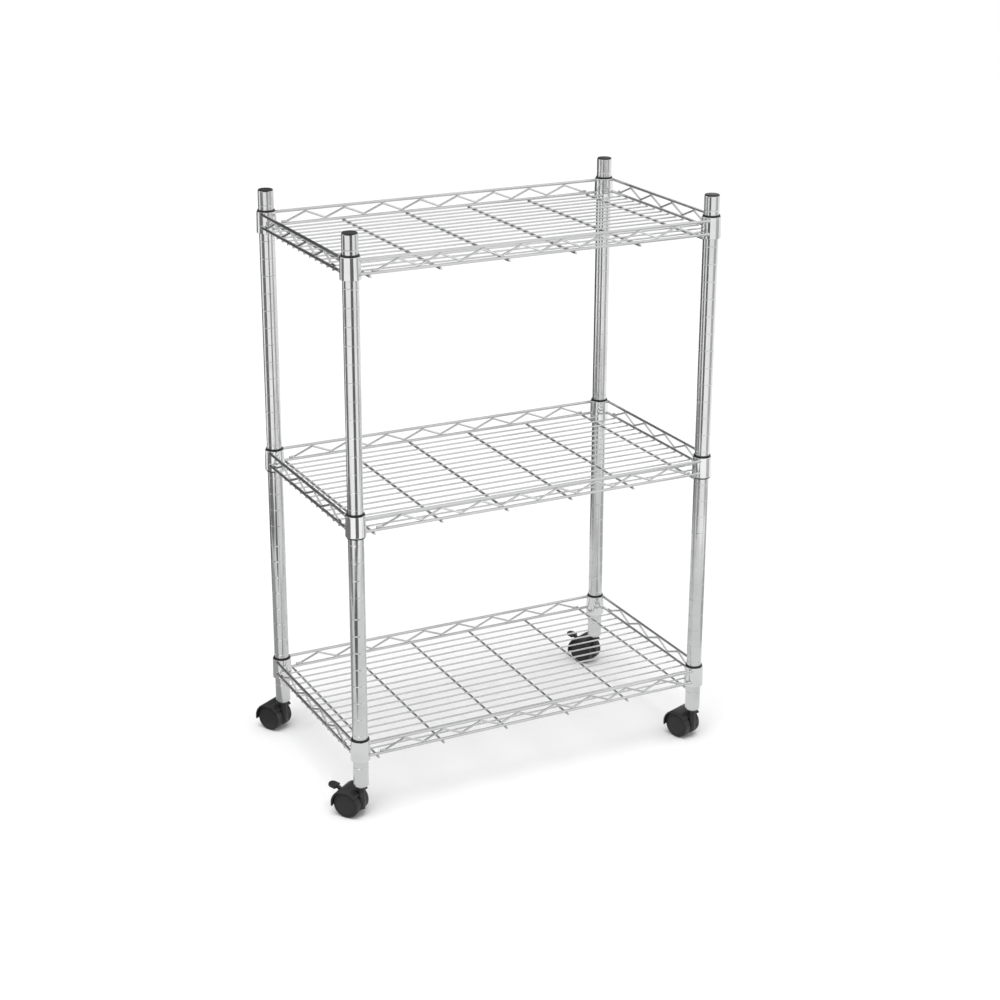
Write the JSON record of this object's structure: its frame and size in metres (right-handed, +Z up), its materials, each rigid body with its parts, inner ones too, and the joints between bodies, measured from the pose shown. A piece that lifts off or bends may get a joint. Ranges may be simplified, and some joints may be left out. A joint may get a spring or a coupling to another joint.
{
  "type": "wire shelf cart",
  "caption": "Rolling cart with chrome wire tray shelves clipped to grooved round posts, on black hooded twin-wheel swivel casters with foot brakes.",
  "frame": {"origin": "on the floor, midway between the four post axes", "axes": "+X along the long side, +Y from the front to the back, +Z up"},
  "size_m": [0.6059, 0.3663, 0.8444],
  "materials": {
    "chrome_tube": "bright chrome plate over ring-grooved steel tube",
    "chrome_wire": "bright chrome plate over drawn steel wire",
    "chrome_collar": "bright chrome plate over pressed steel",
    "black_clip_plastic": "plain moulded black",
    "black_hood_plastic": "satin moulded black",
    "black_wheel_plastic": "satin moulded black, scuffed on the tread",
    "plain_steel": "zinc-plated steel"
  },
  "bodies": {
    "cart_frame": {"post_lower_front_left": "chrome_tube", "post_lower_front_right": "chrome_tube", "post_lower_back_left": "chrome_tube", "post_lower_back_right": "chrome_tube", "post_upper_front_left": "chrome_tube", "post_upper_front_right": "chrome_tube", "post_upper_back_left": "chrome_tube", "post_upper_back_right": "chrome_tube", "post_connectors": "plain_steel", "post_caps": "black_clip_plastic", "shelf_bottom_collars": "chrome_collar", "shelf_bottom_top_rails": "chrome_wire", "shelf_bottom_lower_rails": "chrome_wire", "shelf_bottom_truss": "chrome_wire", "shelf_bottom_cross_wires": "chrome_wire", "shelf_bottom_deck_wires": "chrome_wire", "shelf_middle_collars": "chrome_collar", "shelf_middle_top_rails": "chrome_wire", "shelf_middle_lower_rails": "chrome_wire", "shelf_middle_truss": "chrome_wire", "shelf_middle_cross_wires": "chrome_wire", "shelf_middle_deck_wires": "chrome_wire", "shelf_top_collars": "chrome_collar", "shelf_top_top_rails": "chrome_wire", "shelf_top_lower_rails": "chrome_wire", "shelf_top_truss": "chrome_wire", "shelf_top_cross_wires": "chrome_wire", "shelf_top_deck_wires": "chrome_wire", "sleeve_clips_bottom": "black_clip_plastic", "sleeve_clips_middle": "black_clip_plastic", "sleeve_clips_top": "black_clip_plastic", "caster_inserts": "plain_steel", "caster_stems": "plain_steel"},
    "caster_front_left": {"hood_front_left": "black_hood_plastic", "axle_front_left": "plain_steel", "brake_pin_front_left": "plain_steel"},
    "wheel_left_front_left": {"wheel_left_front_left": "black_wheel_plastic"},
    "wheel_right_front_left": {"wheel_right_front_left": "black_wheel_plastic"},
    "brake_front_left": {"brake_lever_front_left": "black_hood_plastic"},
    "caster_front_right": {"hood_front_right": "black_hood_plastic", "axle_front_right": "plain_steel"},
    "wheel_left_front_right": {"wheel_left_front_right": "black_wheel_plastic"},
    "wheel_right_front_right": {"wheel_right_front_right": "black_wheel_plastic"},
    "caster_back_left": {"hood_back_left": "black_hood_plastic", "axle_back_left": "plain_steel"},
    "wheel_left_back_left": {"wheel_left_back_left": "black_wheel_plastic"},
    "wheel_right_back_left": {"wheel_right_back_left": "black_wheel_plastic"},
    "caster_back_right": {"hood_back_right": "black_hood_plastic", "axle_back_right": "plain_steel", "brake_pin_back_right": "plain_steel"},
    "wheel_left_back_right": {"wheel_left_back_right": "black_wheel_plastic"},
    "wheel_right_back_right": {"wheel_right_back_right": "black_wheel_plastic"},
    "brake_back_right": {"brake_lever_back_right": "black_hood_plastic"}
  },
  "joints": [
    {"name": "swivel_front_left", "type": "hinge", "parent": "cart_frame", "child": "caster_front_left", "pos_m": [-0.2745, -0.152, 0.04], "axis": [0, 0, 1], "continuous": true},
    {"name": "roll_left_front_left", "type": "hinge", "parent": "caster_front_left", "child": "wheel_left_front_left", "pos_m": [-0.28473, -0.13842, 0.02], "axis": [0.7986, 0.6018, 0], "continuous": true},
    {"name": "roll_right_front_left", "type": "hinge", "parent": "caster_front_left", "child": "wheel_right_front_left", "pos_m": [-0.28473, -0.13842, 0.02], "axis": [0.7986, 0.6018, 0], "continuous": true},
    {"name": "brake_front_left", "type": "hinge", "parent": "caster_front_left", "child": "brake_front_left", "pos_m": [-0.29165, -0.12924, 0.0315], "axis": [-0.7986, -0.6018, 0], "range_deg": [0, 18]},
    {"name": "swivel_front_right", "type": "hinge", "parent": "cart_frame", "child": "caster_front_right", "pos_m": [0.2745, -0.152, 0.04], "axis": [0, 0, 1], "continuous": true},
    {"name": "roll_left_front_right", "type": "hinge", "parent": "caster_front_right", "child": "wheel_left_front_right", "pos_m": [0.26869, -0.13603, 0.02], "axis": [0.9397, 0.342, 0], "continuous": true},
    {"name": "roll_right_front_right", "type": "hinge", "parent": "caster_front_right", "child": "wheel_right_front_right", "pos_m": [0.26869, -0.13603, 0.02], "axis": [0.9397, 0.342, 0], "continuous": true},
    {"name": "swivel_back_left", "type": "hinge", "parent": "cart_frame", "child": "caster_back_left", "pos_m": [-0.2745, 0.152, 0.04], "axis": [0, 0, 1], "continuous": true},
    {"name": "roll_left_back_left", "type": "hinge", "parent": "caster_back_left", "child": "wheel_left_back_left", "pos_m": [-0.28326, 0.16657, 0.02], "axis": [0.8572, 0.515, 0], "continuous": true},
    {"name": "roll_right_back_left", "type": "hinge", "parent": "caster_back_left", "child": "wheel_right_back_left", "pos_m": [-0.28326, 0.16657, 0.02], "axis": [0.8572, 0.515, 0], "continuous": true},
    {"name": "swivel_back_right", "type": "hinge", "parent": "cart_frame", "child": "caster_back_right", "pos_m": [0.2745, 0.152, 0.04], "axis": [0, 0, 1], "continuous": true},
    {"name": "roll_left_back_right", "type": "hinge", "parent": "caster_back_right", "child": "wheel_left_back_right", "pos_m": [0.26678, 0.16715, 0.02], "axis": [0.891, 0.454, 0], "continuous": true},
    {"name": "roll_right_back_right", "type": "hinge", "parent": "caster_back_right", "child": "wheel_right_back_right", "pos_m": [0.26678, 0.16715, 0.02], "axis": [0.891, 0.454, 0], "continuous": true},
    {"name": "brake_back_right", "type": "hinge", "parent": "caster_back_right", "child": "brake_back_right", "pos_m": [0.26156, 0.17739, 0.0315], "axis": [-0.891, -0.454, 0], "range_deg": [0, 18]}
  ]
}
